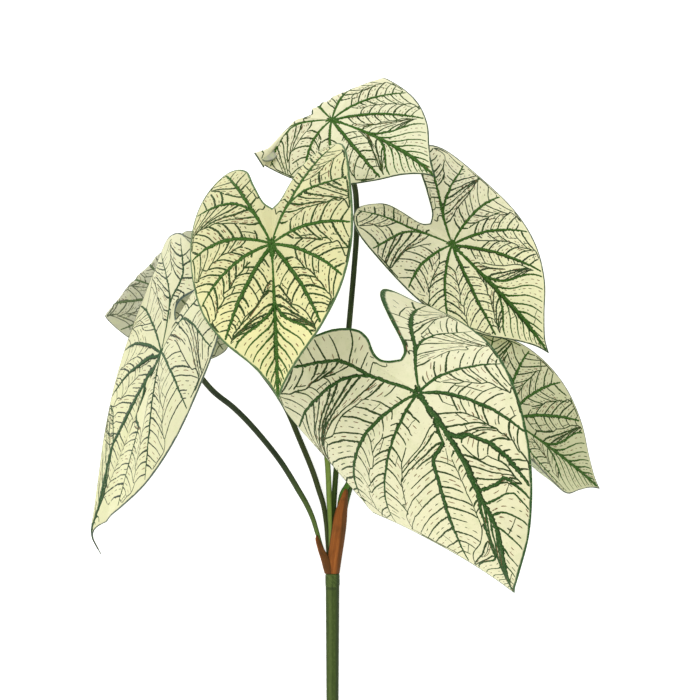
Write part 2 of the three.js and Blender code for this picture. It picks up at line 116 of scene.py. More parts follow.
LEAVES = {
    "front": leaf_of(
        at=[-41.5, 242.5, 178], turn=4, dip=-21, roll=-25, length=123, width=[1.03, 1],
        lobe=[1.01, 1.26], notch=0.24, sweep=4, twist=6, droop=-12, lobe_droop=[38, 44], fold=[-35, -9],
        curl=[58, 14], foot=90, neck=14, girth=1.2,
        route=[
            [-1.5, 18, 8.3], [-1.5, 29.5, 8.5], [-2, 41, 10.5], [-2.5, 53, 13.5], [-3, 68.5, 18.5],
            [-4, 85.5, 26], [-7, 107.5, 37], [-12, 134, 47], [-17.5, 163, 55], [-23, 190, 65],
            [-26.5, 210, 90], [-29.5, 226, 132],
        ],
    ),
    "centre": leaf_of(
        at=[62.4, 137.5, 166], turn=28, dip=-35, roll=-16, length=192, width=[1.41, 0.65],
        lobe=[0.78, 1.15], lap=[0.27, 0.08], sweep=-33, twist=-30, droop=64, lobe_droop=[-45, 35],
        fold=[3, 29], curl=[52, 8], foot=30, neck=15, swing=0.58, branch=[(0.15, 0.2), (0.24, 0.5)],
        ends={(1, 3): 1.8}, minor=0.35, girth=1.1, midrib=0.68,
        route=[
            [2.5, 11.5, 8.2], [4, 27, 9.5], [4.8, 39, 10.6], [6, 51, 11.6], [8, 58.5, 12.8],
            [10.5, 62.5, 13.8], [14.5, 69, 16.5], [19.5, 76.5, 23.5], [27, 87, 38], [42, 108, 66],
        ],
    ),
    "upper_right": leaf_of(
        at=[91, 247.8, 34.6], turn=45, dip=0, roll=16, length=111, width=[1, 1.1], lobe=[1.07, 1.03],
        notch=0.21, lap=[0.12, 0], sweep=-4, twist=-15, droop=8, lobe_droop=[44, -31], fold=[-16, -4],
        curl=[-2, 31], foot=270, neck=12, swing=0.2,
        route=[
            [1, 11.5, 2.3], [3.4, 27, 2.4], [6, 43, 3], [10.5, 60, 4.4], [19, 83, 6.5], [36.5, 122, 10],
            [63.5, 179.5, 13], [82, 222, 16],
        ],
    ),
    "top": leaf_of(
        at=[0, 340, 62], turn=70, dip=-26, roll=32, length=105, width=[0.95, 1.05], lobe=[1.17, 1],
        sweep=-23, twist=-1, droop=-4, lobe_droop=[4, 0], fold=[1, -6], curl=[49, 18], foot=0, neck=7,
        bends=[dict(start=[0.06, 0.125], toward=62, radius=9, angle=165)], swing=0.12,
        route=[
            [0, 17.5, 5.2], [0.4, 29, 4.9], [1, 48.5, 7], [2.5, 72, 10], [6, 106.5, 14], [9, 137.5, 17],
            [12.5, 183.5, 19], [16.5, 229, 19], [18.5, 258, 19], [18.5, 277, 23], [17, 292, 36],
            [12.5, 305, 48], [6.5, 319, 57],
        ],
    ),
    "left": leaf_of(
        at=[-124.5, 166, 100], turn=-23, dip=19, roll=-63, length=165, width=[0.96, 1.1],
        lobe=[0.88, 0.9], tail=0.19, lap=[0.34, 0.1], sweep=-15, twist=3, droop=8, lobe_droop=[-10, 18],
        fold=[-6, -19], curl=[18, 28], foot=150, neck=14,
        bends=[dict(start=[0, -0.96], toward=270, radius=30, angle=36)], swing=-0.7,
        branch=[None, (0.2, 0.3)], ends={(1, 4): 1.3}, minor=0.6,
        route=[
            [-9.4, 19, 8.6], [-11.7, 27.2, 9.6], [-15.1, 38.5, 11.5], [-19.6, 49, 14], [-26, 60.5, 17],
            [-39.5, 83, 26], [-60, 109.5, 41], [-74, 124.5, 53], [-88, 136.5, 67],
        ],
    ),
    "lower_right": leaf_of(
        at=[132.4, 116, 48.5], turn=57.5, dip=22, roll=31, length=104, width=[1.19, 1.16], sweep=-1,
        twist=-11, droop=13, lobe_droop=[25, 25], fold=[-12, 2], curl=[-52, -3], foot=330, neck=12,
        route=[
            [3.5, 11.5, 4.6], [6.2, 27, 5.2], [8.3, 39, 6], [10.5, 50.5, 7.6], [12.5, 58.5, 8.8],
            [15.5, 67, 10], [24, 80.5, 12], [52, 94, 17], [101, 105.5, 28],
        ],
    ),
    "back_left": leaf_of(
        at=[-122, 212.5, 24], turn=-108, dip=0, roll=4, length=92, sweep=0, twist=0, droop=-6,
        lobe_droop=[2, 2], fold=[0, 0], curl=[6, 6], foot=210, neck=5,
        bends=[dict(start=[0, -0.26], toward=246, radius=5, angle=172)], girth=0.75,
        route=[
            [-4, 21.5, 4.4], [-5, 35.5, 5], [-7, 48.5, 5.5], [-10.5, 60, 6.5], [-15, 74, 7.5],
            [-25, 98.5, 8], [-37.5, 126.5, 8], [-59, 157, 8], [-85, 189.5, 9], [-104, 202, 12],
            [-116, 209, 14.5],
        ],
    ),
}

# ---- sheaths ----
# A curled scale round a centre line: at each station the centre, the radius and the scale's two
# edges, as angles from +X toward +Z.
SHEATHS = {
    "tall": dict(
        blunt=0.12,
        at=[
            [0.2, STEM_TOP + SEAT_GAP, 5.8], [1.6, 8, 6.6], [3.1, 19, 7.5], [4.8, 31, 8.8], [6.3, 42, 10],
            [8.1, 51.5, 12.4], [9.4, 57.5, 15], [10, 61.5, 17],
        ],
        radius=[5.6, 6, 6.2, 6.1, 5.5, 4.1, 3, 2.5],
        edges=[
            [-40, 158], [-34, 160], [-28, 158], [-20, 156], [-8, 158], [-10, 152], [0, 142], [20, 130],
        ],
    ),
    "short": dict(
        blunt=0.15,
        at=[
            [-0.4, STEM_TOP + SEAT_GAP, 5.8], [-4.4, 7, 6.6], [-7.8, 14, 7.7], [-10.2, 20, 9],
            [-11.3, 25.5, 9.8],
        ],
        radius=[6, 5, 3.8, 2.9, 2.9],
        edges=[[100, 250], [62, 247], [52, 240], [55, 205], [85, 130]],
    ),
}


def smoothstep(value, low=0.0, high=1.0):
    share = np.clip((value - low) / (high - low), 0, 1)
    return share * share * (3 - 2 * share)


def sinc(angle):
    return np.sinc(angle / np.pi)


def hermite(p1, p2, slope1, slope2, t):
    """The cubic from p1 at t = 0 to p2 at t = 1 with those slopes."""
    cubic = 2 * p1 - 2 * p2 + slope1 + slope2
    square = 3 * p2 - 3 * p1 - 2 * slope1 - slope2
    return cubic * t**3 + square * t**2 + slope1 * t + p1


def spline(points, step):
    """A uniform Catmull-Rom curve through the points, which are numbered from 0 in steps."""
    last = len(points) - 1
    first = np.minimum(step.astype(int), last - 1)
    t = (step - first)[..., None]
    p0, p1, p2, p3 = (points[np.clip(first + i, 0, last)] for i in (-1, 0, 1, 2))
    return hermite(p1, p2, (p2 - p0) / 2, (p3 - p1) / 2, t)


def centripetal(points, per_span):
    """A centripetal Catmull-Rom curve through the points, as a fine line."""
    points = np.vstack([2 * points[0] - points[1], points, 2 * points[-1] - points[-2]])
    line = []
    for p0, p1, p2, p3 in zip(points, points[1:], points[2:], points[3:]):
        d0, d1, d2 = (math.sqrt(np.linalg.norm(b - a)) for a, b in ((p0, p1), (p1, p2), (p2, p3)))
        slope1 = ((p1 - p0) / d0 - (p2 - p0) / (d0 + d1) + (p2 - p1) / d1) * d1
        slope2 = ((p2 - p1) / d1 - (p3 - p1) / (d1 + d2) + (p3 - p2) / d2) * d1
        t = np.linspace(0, 1, per_span, endpoint=False)[:, None]
        line.append(hermite(p1, p2, slope1, slope2, t))
    return np.vstack([*line, points[-2]])


def run_along(points):
    """How far each point is along the line through them."""
    return np.append(0, np.cumsum(np.linalg.norm(np.diff(points, axis=0), axis=1)))


def placed(points):
    """Points of the tables, in metres and at their place in the scene."""
    return np.asarray(points) * MM + ORIGIN


# ---- a leaf's surface ----
# A point of the blade is named by its sector, 0 at the tip to 6 at the notch on the right and
# 0 to -6 on the left, and by reach, 0 at the petiole to 1 at the margin.


def outline_of(leaf):
    """Half of the outline, with this leaf's own notch and tail."""
    points = np.array(OUTLINE, float)
    points[-3:, 1] += np.array(NOTCH_SHARES) * (leaf["notch"] - NOTCH)
    if leaf["tail"]:
        points[0, 1] -= leaf["tail"]
        points[1:3] = TAILED
    return points


def flat_points(leaf, sector, reach):
    """Where points of the blade lie in the flat leaf, in millimetres, and on which half."""
    side = np.where(sector < 0, -1, 1)
    half = np.where(sector < 0, 0, 1)
    edge = spline(outline_of(leaf), np.interp(np.abs(sector), range(len(VEIN_ENDS)), VEIN_ENDS))
    angle = np.arctan2(edge[..., 0], -edge[..., 1])
    bow = math.radians(VEIN_BOW) * np.sin(np.pi * np.clip(angle / math.radians(BOW_SPAN), 0, 1))
    swung = angle + bow * (1 - reach)
    far = reach * np.hypot(edge[..., 0], edge[..., 1])
    along = -far * np.cos(swung)
    lobe_share = smoothstep(along, leaf["notch"], leaf["notch"] + LOBE_RISE)
    out = far * np.sin(swung) * np.take(leaf["width"], half)
    out = out - np.take(leaf["lap"], half) * lobe_share * np.maximum(0, 1 - out / HALF_WIDTH)
    x = side * out * leaf["length"]
    y = along * (1 + (np.take(leaf["lobe"], half) - 1) * lobe_share) * leaf["length"]
    swept = math.radians(leaf["sweep"]) * (-y / leaf["length"])
    chord = -y * sinc(swept / 2)
    turned = chord * np.sin(swept / 2) + x * np.cos(swept)
    toward_tip = y < 0
    half = np.where(toward_tip, np.where(turned < 0, 0, 1), half)
    y = np.where(toward_tip, -chord * np.cos(swept / 2) + x * np.sin(swept), y)
    return np.where(toward_tip, turned, x), y, half


def arched_points(leaf, x, y, half):
    """The flat blade creased and curled about its midrib, then arched along it and twisted."""
    side = np.where(half == 0, -1, 1)
    wide = side * x
    turned = np.radians(np.take(leaf["curl"], half)) * (wide / (HALF_WIDTH * leaf["length"]))
    slope = np.radians(np.take(leaf["fold"], half)) + turned / 2
    chord = wide * sinc(turned / 2)
    across = side * chord * np.cos(slope)
    rise = -chord * np.sin(slope)
    right_share = smoothstep(0.5 + x / (LOBE_BLEND * leaf["length"]))
    lobe_droop = leaf["lobe_droop"][0] + right_share * np.diff(leaf["lobe_droop"])
    arch = np.where(y < 0, leaf["droop"] * -y, lobe_droop * (y / LOBE_SPAN))
    bend = np.radians(arch / leaf["length"])
    reach = np.abs(y) * sinc(bend / 2)
    twist = math.radians(leaf["twist"]) * (-y / leaf["length"])
    lift = rise * np.cos(twist) - across * np.sin(twist)
    way = np.where(y < 0, -1, 1)
    return np.stack([
        across * np.cos(twist) + rise * np.sin(twist),
        way * (reach * np.cos(bend / 2) + lift * np.sin(bend)),
        lift * np.cos(bend) - reach * np.sin(bend / 2),
    ], -1)


def roll_past(leaf, points, bend):
    """Rolls what lies past a line of the blade down round a cylinder."""
    x, y = np.array(bend["start"])[:, None] * leaf["length"]
    start = arched_points(leaf, x, y, np.where(x < 0, 0, 1))[0]
    toward = math.radians(bend["toward"])
    way = np.array([math.cos(toward), math.sin(toward), 0])
    past = np.maximum(0, (points - start) @ way)
    rolled = np.clip(past / bend["radius"], 0, math.radians(bend["angle"]))
    rest = past - bend["radius"] * rolled
    arm = bend["radius"] + points[..., 2] - start[2]
    points = points + (arm * np.sin(rolled) + rest * np.cos(rolled) - past)[..., None] * way
    points[..., 2] = start[2] - bend["radius"] + arm * np.cos(rolled) - rest * np.sin(rolled)
    return points


def attitude(leaf):
    """The turn of the blade as a matrix; its place is the leaf's at."""
    turns = [(leaf["turn"], "Z"), (leaf["dip"], "X"), (leaf["roll"], "Y")]
    matrix = Matrix.Identity(3)
    for angle, axis in turns:
        matrix = matrix @ Matrix.Rotation(math.radians(angle), 3, axis)
    return np.array(matrix)


def quilt_of(sector, reach):
    """How far the blade rises between two main veins."""
    return QUILT * np.sin(np.pi * sector) ** 2 * 4 * reach * (1 - reach)


def rib_of(sector, reach):
    """Extra thickness beneath, along main veins."""
    return RIB * np.cos(np.pi * sector) ** 2 * (1 - reach)


def bent_points(leaf, x, y, half):
    """Where points of the flat leaf end up in the spray."""
    points = arched_points(leaf, x, y, half)
    for bend in leaf["bends"]:
        points = roll_past(leaf, points, bend)
    return points @ attitude(leaf).T + leaf["at"]


# ---- the veins of a leaf ----
# A main vein starts on the line of one sector, leaves it at some reach and ends in another sector at
# the margin. They are listed from the lobe to the tip, each with its half widths on the way, which
# grow with the leaf's girth. Other lengths are for a leaf of VEIN_LENGTH and grow with its length.
VEIN_LENGTH = 123
VEINS_END = 0.975  # the reach where the last of them end
MAIN_VEINS = [
    dict(start=5, end=5, leaves=0, wide=[1.7, 1.4, 1.1, 0.5]),
    dict(start=5, end=4, leaves=0.3, wide=[1, 0.9, 0.75, 0.45]),
    dict(start=3, end=3, leaves=0, wide=[1.6, 1.4, 1.15, 0.5]),
    dict(start=2, end=2, leaves=0, wide=[1.6, 1.4, 1.15, 0.5]),
    dict(start=1, end=1, leaves=0, wide=[1.7, 1.5, 1.25, 0.6]),
    dict(start=0, end=0.88, leaves=0.29, wide=[1.2, 0.95, 0.8, 0.5]),
]
FIRST = 4  # the first one beside the midrib; lesser ones follow, thinner and nearer the tip
LESSER_LEAVE = [0.39, 0.48, 0.57, 0.66, 0.74, 0.82, 0.89]
LESSER_END = [0.77, 0.66, 0.55, 0.43, 0.32, 0.21, 0.1]
for leaves, end in zip(LESSER_LEAVE, LESSER_END):
    MAIN_VEINS.append(dict(start=0, end=end, leaves=leaves, wide=[0.75, 0.6, 0.5, 0.35]))
MIDRIB = dict(start=0, end=0, leaves=0, wide=[3.1, 2.6, 2.3, 3, 2.3, 2.1, 2.1, 1.6, 1.2, 0.6])
NOTCH_LINE = dict(start=6, end=6, leaves=0)
MAIN_POINTS = 60  # on the way of a main vein
MIDRIB_POINTS = 80
WAY_POINTS = 12  # on the way of a side vein
SWING_SPAN = 3  # sectors from the midrib within which veins swing with it
SWING_FULL = 0.15  # reach from which they do so fully, and from which they turn back at the midrib
SWING_BACK = 0.72

# the outline of a vein: it wavers, and its edges are uneven, with small spikes where it is wide
SWAY = 0.3
SWAY_LENGTH = 5
UNEVEN = 0.22
SPIKES = 0.3  # share of its points with a spike
SPIKE_SIZE = [0.3, 0.95]
SPIKE_GIRTH = 0.8
SPIKE_WIDE = [0.4, 0.9]  # half widths from which there are spikes, and from which they are full

# side veins, from both main veins of a pair toward each other
SIDE_WIDE = [0.66, 0.54, 0.42]
SIDE_GIRTH = [0.75, 1.15]
SIDE_PITCH = 7.2  # between them along their main vein
SIDE_SHIFT = 0.22  # how unevenly, in pitches
SIDE_START = 0.8  # the first one starts within this share of a pitch, the last before SIDE_LAST
SIDE_LAST = 0.97
SIDE_ANGLE = 70  # between a side vein and its main vein, where it leaves
SIDE_BEND = 0.7  # how much of that angle it has lost at its end
SIDE_STEP = 1
SIDE_STEPS = 48
GOALS = [0.45, 0.55]  # how far it goes toward the next main vein
GOALS_AT_NOTCH = [0.6, 0.95]
WHOLE = 0.85  # share of them that keep all their points; the others break off
BROKEN = [6, 11]
HEIGHT_SHARE = 0.35  # heights count this much, so that the net is even as seen from above
NARROWEST = 8.5  # no side vein where two main veins are closer than this
BARE = 0.1  # no side vein starts nearer to the petiole than this reach
NOTCH_BARE = 0.28  # the same beside the notch
HUB = 0.03  # no side vein goes nearer to the petiole than this
NEAR_MARGIN = 0.9  # reach where the order of two veins is compared
LEAST_GAP = 0.02  # between them, in sectors
MEETING_WIDE = [0.42, 0.42]
MEETING_BARE = 0.25  # reach where the first side veins are joined
MEETING_ROOM = 12  # widest distance of two main veins from which there is such a join
MEETING_STEPS = 6

# broken hair-thin veins between side veins
FINE_WIDE = [0.24, 0.28, 0.2]
FINE_ROOM = 3  # between two rows
FINE_SHIFT = 0.08
FINE_START = [0.02, 0.15]
FINE_END = 0.92
FINE_LENGTH = [1, 4]
FINE_PAUSE = [0.8, 3]
BROWN_SHARE = 0.62
TIES = 0.2  # share of neighbouring side veins that a tie joins
TIE_WIDE = [0.3, 0.26]
TIE_AT = [0.45, 0.85]
TIE_SLANT = 0.12
STRAND_STEP = 0.9  # between two sections of any vein
# tones of a vein, for its material
FINE = 0
GREEN = 1
BROWN = 2


def vein_sector(vein, reach):
    """Where a main vein runs."""
    share = np.clip((reach - vein["leaves"]) / vein.get("over", 1 - vein["leaves"]), 0, 1)
    return vein["start"] + (vein["end"] - vein["start"]) * np.sin(share * np.pi / 2)


class Net:
    """The veins of one leaf: strands of points a step apart, gathered one after another."""

    def __init__(self, leaf, seed):
        self.leaf = leaf
        self.scale = leaf["length"] / VEIN_LENGTH
        self.dice = np.random.default_rng(seed)
        self.step = STRAND_STEP * self.scale
        self.strands = []

    def swung(self, signed, reach):
        """Where a place of the even net lies in this leaf's own."""
        fades = np.maximum(0, 1 - np.abs(signed) / SWING_SPAN)
        returns = 1 - smoothstep(reach, SWING_BACK, 1) * np.maximum(0, 1 - np.abs(signed))
        return signed + self.leaf["swing"] * np.minimum(1, reach / SWING_FULL) * returns * fades

    def waver(self, share, waves):
        """A smooth random swing between -1 and 1."""
        first, second = self.dice.uniform(0, 2 * np.pi, 2)
        return 0.6 * np.sin(waves * share + first) + 0.4 * np.sin(2.7 * waves * share + second)

    def add(self, side, sector, reach, wide, tone):
        """A vein through places of one side; wide lists its half widths on the way."""
        sector, reach = np.broadcast_arrays(np.asarray(sector, float), np.asarray(reach, float))
        signed = self.swung(side * sector, reach)
        x, y, _ = flat_points(self.leaf, signed, reach)
        run = run_along(np.stack([x, y], -1))
        if run[-1] < 2 * self.step:
            return
        marks = np.linspace(0, run[-1], max(4, round(run[-1] / self.step) + 1))
        share = marks / run[-1]
        signed = np.interp(marks, run, signed)
        reach = np.interp(marks, run, reach)
        x, y, half = flat_points(self.leaf, signed, reach)
        way = np.stack([np.gradient(x), np.gradient(y)])
        way /= np.hypot(*way)
        waver = self.waver(share, run[-1] / (SWAY_LENGTH * self.scale))
        sway = SWAY * self.scale * waver * np.sin(np.pi * share)
        girth = self.leaf["girth"]
        half_width = girth * np.interp(share, np.linspace(0, 1, len(wide)), wide)
        edges = []
        for _ in range(2):
            uneven = 1 + UNEVEN * self.dice.uniform(-1, 1, len(marks))
            spike = (self.dice.random(len(marks)) < SPIKES) * self.dice.uniform(*SPIKE_SIZE, len(marks))
            spike = SPIKE_GIRTH * spike * girth * smoothstep(half_width / girth, *SPIKE_WIDE)
            edges.append(half_width * uneven + spike)
        edges = np.array(edges)
        edges[:, [0, -1]] = 0
        self.strands.append(np.column_stack([
            x - way[1] * sway, y + way[0] * sway, half, quilt_of(signed, reach), rib_of(signed, reach),
            *way, *edges, np.full(len(marks), tone),
        ]))


def draw_side(net, side):
    """All veins of one side of the midrib."""
    veins = [dict(vein) for vein in MAIN_VEINS]
    branch = net.leaf["branch"][max(side, 0)]
    if branch:
        leaves, over = branch
        veins[FIRST].update(start=0, leaves=leaves, over=over)
    for vein in veins[FIRST + 1:]:
        vein["leaves"] += net.leaf["minor"] * (1 - vein["leaves"])
    for (of_side, number), end in net.leaf["ends"].items():
        if of_side == side:
            veins[number]["end"] = end
    for vein in veins:
        reach = np.linspace(vein["leaves"], VEINS_END, MAIN_POINTS)
        net.add(side, vein_sector(vein, reach), reach, vein["wide"], GREEN)
    for number, (above, below) in enumerate(zip([NOTCH_LINE, *veins], [*veins, MIDRIB])):
        if number <= FIRST + 1:
            draw_between(net, side, above, below)
            continue
        reach = np.linspace(max(above["leaves"], below["leaves"]), VEINS_END, WAY_POINTS)
        draw_fine(net, side, *(np.stack([vein_sector(vein, reach), reach]) for vein in (above, below)))


def seen(net, side, sector, reach):
    """Points of the blade with their heights shortened."""
    signed = net.swung(side * np.clip(sector, 1e-6, SECTORS - 1e-3), reach)
    return bent_points(net.leaf, *flat_points(net.leaf, signed, reach)) * [1, 1, HEIGHT_SHARE]


def grow(net, side, vein, other, starts, goals):
    """Side veins from places of a main vein toward the other: a list of sectors and reaches each."""
    sector = vein_sector(vein, starts)
    reach = starts.copy()
    way = np.sign(vein_sector(other, NEAR_MARGIN) - vein_sector(vein, NEAR_MARGIN))
    gone = np.zeros(len(starts))
    lines = [(sector, reach, gone)]
    nudge = 1e-3
    for _ in range(SIDE_STEPS):
        here = seen(net, side, sector, reach)
        along = (seen(net, side, sector, reach + nudge) - here) / nudge
        across = (seen(net, side, sector + nudge, reach) - here) / nudge
        stretch = np.linalg.norm(along, axis=1)
        lean = (across * along).sum(1) / stretch
        square = np.sqrt(np.maximum((across**2).sum(1) - lean**2, 1))
        angle = np.radians(SIDE_ANGLE) * (1 - SIDE_BEND * np.clip(gone / goals, 0, 1))
        turned = SIDE_STEP * net.scale * np.sin(angle) / square
        sector = sector + way * turned
        reach = reach + (SIDE_STEP * net.scale * np.cos(angle) - way * lean * turned) / stretch
        between = vein_sector(other, reach) - vein_sector(vein, reach)
        between = np.where(np.abs(between) < LEAST_GAP, LEAST_GAP * way, between)
        gone = (sector - vein_sector(vein, reach)) / between
        lines.append((sector, reach, gone))
    sectors, reaches, gones = (np.array(part).T for part in zip(*lines))
    grown = []
    for sector, reach, gone, goal in zip(sectors, reaches, gones, goals):
        over = (gone > goal) | (reach > VEINS_END) | (reach < HUB)
        count = np.argmax(over) if over.any() else len(over)
        if count > 3:
            marks = np.linspace(0, count - 1, WAY_POINTS)
            grown.append(np.array([np.interp(marks, range(len(part)), part) for part in (sector, reach)]))
    return grown


def draw_between(net, side, above, below):
    """Side veins between two main veins, and the vein where they meet."""
    notch = above is NOTCH_LINE
    reaches = np.linspace(NOTCH_BARE if notch else BARE, VEINS_END, MAIN_POINTS)
    rims = [seen(net, side, vein_sector(vein, reaches), reaches) for vein in (above, below)]
    width = np.linalg.norm(rims[0] - rims[1], axis=1)
    ends = []
    for vein, other, rim in ((below, above, rims[1]), (above, below, rims[0])):
        if notch and vein is above:
            continue
        run = run_along(rim)
        pitch = SIDE_PITCH * math.sqrt(net.scale)
        marks = np.arange(pitch * net.dice.uniform(0, SIDE_START), run[-1] * SIDE_LAST, pitch)
        marks = marks + pitch * net.dice.uniform(-SIDE_SHIFT, SIDE_SHIFT, len(marks))
        starts = np.interp(marks, run, reaches)
        starts = starts[np.interp(starts, reaches, width) > NARROWEST]
        if not len(starts):
            continue
        goals = net.dice.uniform(*(GOALS_AT_NOTCH if notch else GOALS), len(starts))
        row = grow(net, side, vein, other, starts, goals)
        for line in row:
            kept = WAY_POINTS if net.dice.random() < WHOLE else net.dice.integers(*BROKEN)
            net.add(side, *line[:, :kept], np.multiply(SIDE_WIDE, net.dice.uniform(*SIDE_GIRTH)), FINE)
            ends.append(line[:, -1])
        for near, far in zip(row, row[1:]):
            draw_fine(net, side, near, far)
    ends = sorted((end for end in ends if end[1] > MEETING_BARE), key=lambda end: end[1])
    if len(ends) > 2 and width.max() > MEETING_ROOM and not notch:
        corners = np.array(ends)
        steps = np.linspace(0, len(corners) - 1, MEETING_STEPS * len(corners))
        net.add(side, *spline(corners, steps).T, MEETING_WIDE, FINE)


def draw_fine(net, side, near, far):
    """Broken hair-thin veins along the way between two side veins, and a tie from one to the other."""
    ways = [seen(net, side, *line) for line in (near, far)]
    gap = np.linalg.norm(ways[0] - ways[1], axis=1).mean() / net.scale
    length = run_along(ways[0])[-1] / net.scale
    points = np.linspace(0, 1, WAY_POINTS)
    rows = max(1, round(gap / FINE_ROOM) - 1)
    for i in range(rows):
        share = (i + 1) / (rows + 1) + net.dice.uniform(-FINE_SHIFT, FINE_SHIFT)
        line = near * (1 - share) + far * share
        at = net.dice.uniform(*FINE_START)
        while at < FINE_END:
            kept = net.dice.uniform(*FINE_LENGTH) / length
            marks = np.linspace(at, min(1, at + kept), 4)
            piece = [np.interp(marks, points, part) for part in line]
            tone = BROWN if net.dice.random() < BROWN_SHARE else FINE
            net.add(side, *piece, FINE_WIDE, tone)
            at += kept + net.dice.uniform(*FINE_PAUSE) / length
    if net.dice.random() < TIES:
        place = net.dice.uniform(*TIE_AT)
        ends = [[np.interp(mark, points, part) for part in line]
                for mark, line in ((place, near), (max(0, place - TIE_SLANT), far))]
        net.add(side, *np.linspace(*ends, 5).T, TIE_WIDE, FINE)


def strands_of(leaf, seed):
    """All veins of a leaf."""
    net = Net(leaf, seed)
    reach = np.linspace(0, VEINS_END, MIDRIB_POINTS)
    net.add(1, 0, reach, np.multiply(MIDRIB["wide"], leaf["midrib"]), GREEN)
    for side in (-1, 1):
        draw_side(net, side)
    return net.strands


# ---- shader sums ----


class Socket:
    """A node's output; sums on it add Math nodes to its shader."""

    def __init__(self, shader, link):
        self.shader = shader
        self.link = link

    def math(self, operation, first, second=0.0):
        return self.shader.make("ShaderNodeMath", {"operation": operation}, {0: first, 1: second})

    def __add__(self, other):
        return self.math("ADD", self, other)

    __radd__ = __add__

    def __sub__(self, other):
        return self.math("SUBTRACT", self, other)

    def __rsub__(self, other):
        return self.math("SUBTRACT", other, self)

    def __mul__(self, other):
        return self.math("MULTIPLY", self, other)

    __rmul__ = __mul__

    def most(self, other):
        return self.math("MAXIMUM", self, other)

    def rises(self, low, high):
        """0 below low, 1 above high, smooth between."""
        limits = {"Value": self, "From Min": low, "From Max": high}
        return self.shader.make("ShaderNodeMapRange", {"interpolation_type": "SMOOTHSTEP"}, limits)


class Shader:
    """A material's nodes, with one Principled surface."""

    def __init__(self, name):
        self.material = bpy.data.materials.new(name)
        self.material.use_nodes = True
        self.tree = self.material.node_tree
        self.surface = self.tree.nodes["Principled BSDF"]

    def make(self, kind, settings, inputs, output=0):
        """Adds a node: its settings first, then the values or links of its sockets."""
        node = self.tree.nodes.new(kind)
        for name, value in settings.items():
            setattr(node, name, value)
        for name, value in inputs.items():
            self.feed(node.inputs[name], value)
        return Socket(self, node.outputs[output])

    def feed(self, socket, value):
        if isinstance(value, Socket):
            self.tree.links.new(value.link, socket)
        elif isinstance(value, (tuple, list)) and socket.type == "RGBA" and len(value) == 3:
            socket.default_value = (*value, 1)
        else:
            socket.default_value = value

    def attribute(self, name):
        return self.make("ShaderNodeAttribute", {"attribute_name": name}, {}, "Vector")

    def parts(self, vector):
        split = self.make("ShaderNodeSeparateXYZ", {}, {"Vector": vector})
        return [Socket(self, link) for link in split.link.node.outputs]

    def join(self, x, y, z):
        return self.make("ShaderNodeCombineXYZ", {}, {"X": x, "Y": y, "Z": z})

    def noise(self, vector, scale, detail=2.0, roughness=0.5):
        inputs = {"Vector": vector, "Scale": scale, "Detail": detail, "Roughness": roughness}
        return self.make("ShaderNodeTexNoise", {}, inputs)

    def blend(self, factor, first, second):
        """A mix of colours; the numbers are those of the node's sockets for colours."""
        return self.make("ShaderNodeMix", {"data_type": "RGBA"}, {0: factor, 6: first, 7: second}, 2)

    def bump(self, height, distance, strength=1.0):
        inputs = {"Height": height, "Distance": distance, "Strength": strength}
        return self.make("ShaderNodeBump", {}, inputs)

    def finish(self, **sockets):
        for name, value in sockets.items():
            self.feed(self.surface.inputs[name.replace("_", " ")], value)
        return self.material


def colour_property(name, description, default):
    return bpy.props.FloatVectorProperty(
        name=name, description=description, default=default, subtype="COLOR")


# ---- meshes ----


def grid(columns, rows, *layers):
    """A new grid with vertex layers, and the shares of its vertices across and along, 0 to 1."""
    bm = bmesh.new()
    for layer in layers:
        bm.verts.layers.float_vector.new(layer)
    bmesh.ops.create_grid(bm, x_segments=columns, y_segments=rows, size=0.5)
    shares = np.array([vert.co for vert in bm.verts])
    return bm, shares[:, 0] + 0.5, 0.5 - shares[:, 1]


def fill_layer(bm, name, values):
    """Stores a vector for each vertex."""
    layer = bm.verts.layers.float_vector[name]
    for vert, value in zip(bm.verts, values):
        vert[layer] = value


def move_to(bm, places):
    for vert, place in zip(bm.verts, places):
        vert.co = place


def finished(name, bm, material, node):
    """The bmesh as a smooth object that rides on the spray and stands for its CAD node."""
    mesh = bpy.data.meshes.new(name)
    bm.to_mesh(mesh)
    bm.free()
    mesh.shade_smooth()
    mesh.materials.append(material)
    piece = bpy.data.objects.new(name, mesh)
    bpy.context.collection.objects.link(piece)
    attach(piece, BODY)
    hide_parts(node)


def tube(middle, radius, sides):
    """A closed rod along a line of points; radius gives its size from the turn and the row."""
    steps = len(middle) - 1
    ways = np.gradient(middle, axis=0)
    ways /= np.linalg.norm(ways, axis=1)[:, None]
    side = np.cross(ways[0], [0, 0, 1])
    frames = []
    for way in ways:
        side = side - way * (side @ way)
        side /= np.linalg.norm(side)
        frames.append((side, np.cross(side, way)))
    bm, across, along = grid(sides, steps, "along")
    rows = np.rint(along * steps).astype(int)
    turn = across * 2 * np.pi
    wide = radius(turn, rows)
    right = np.array([f[0] for f in frames])[rows]
    up = np.array([f[1] for f in frames])[rows]
    out = right * np.cos(turn)[:, None] + up * np.sin(turn)[:, None]
    run = run_along(middle)
    move_to(bm, placed(middle[rows] + out * wide[:, None]))
    fill_layer(bm, "along", np.stack([np.cos(turn), np.sin(turn), run[rows]], -1))
    bmesh.ops.remove_doubles(bm, verts=bm.verts, dist=1e-6)
    rims = [edge for edge in bm.edges if edge.is_boundary]
    bmesh.ops.holes_fill(bm, edges=rims, sides=0)
    bmesh.ops.recalc_face_normals(bm, faces=bm.faces)
    return bm


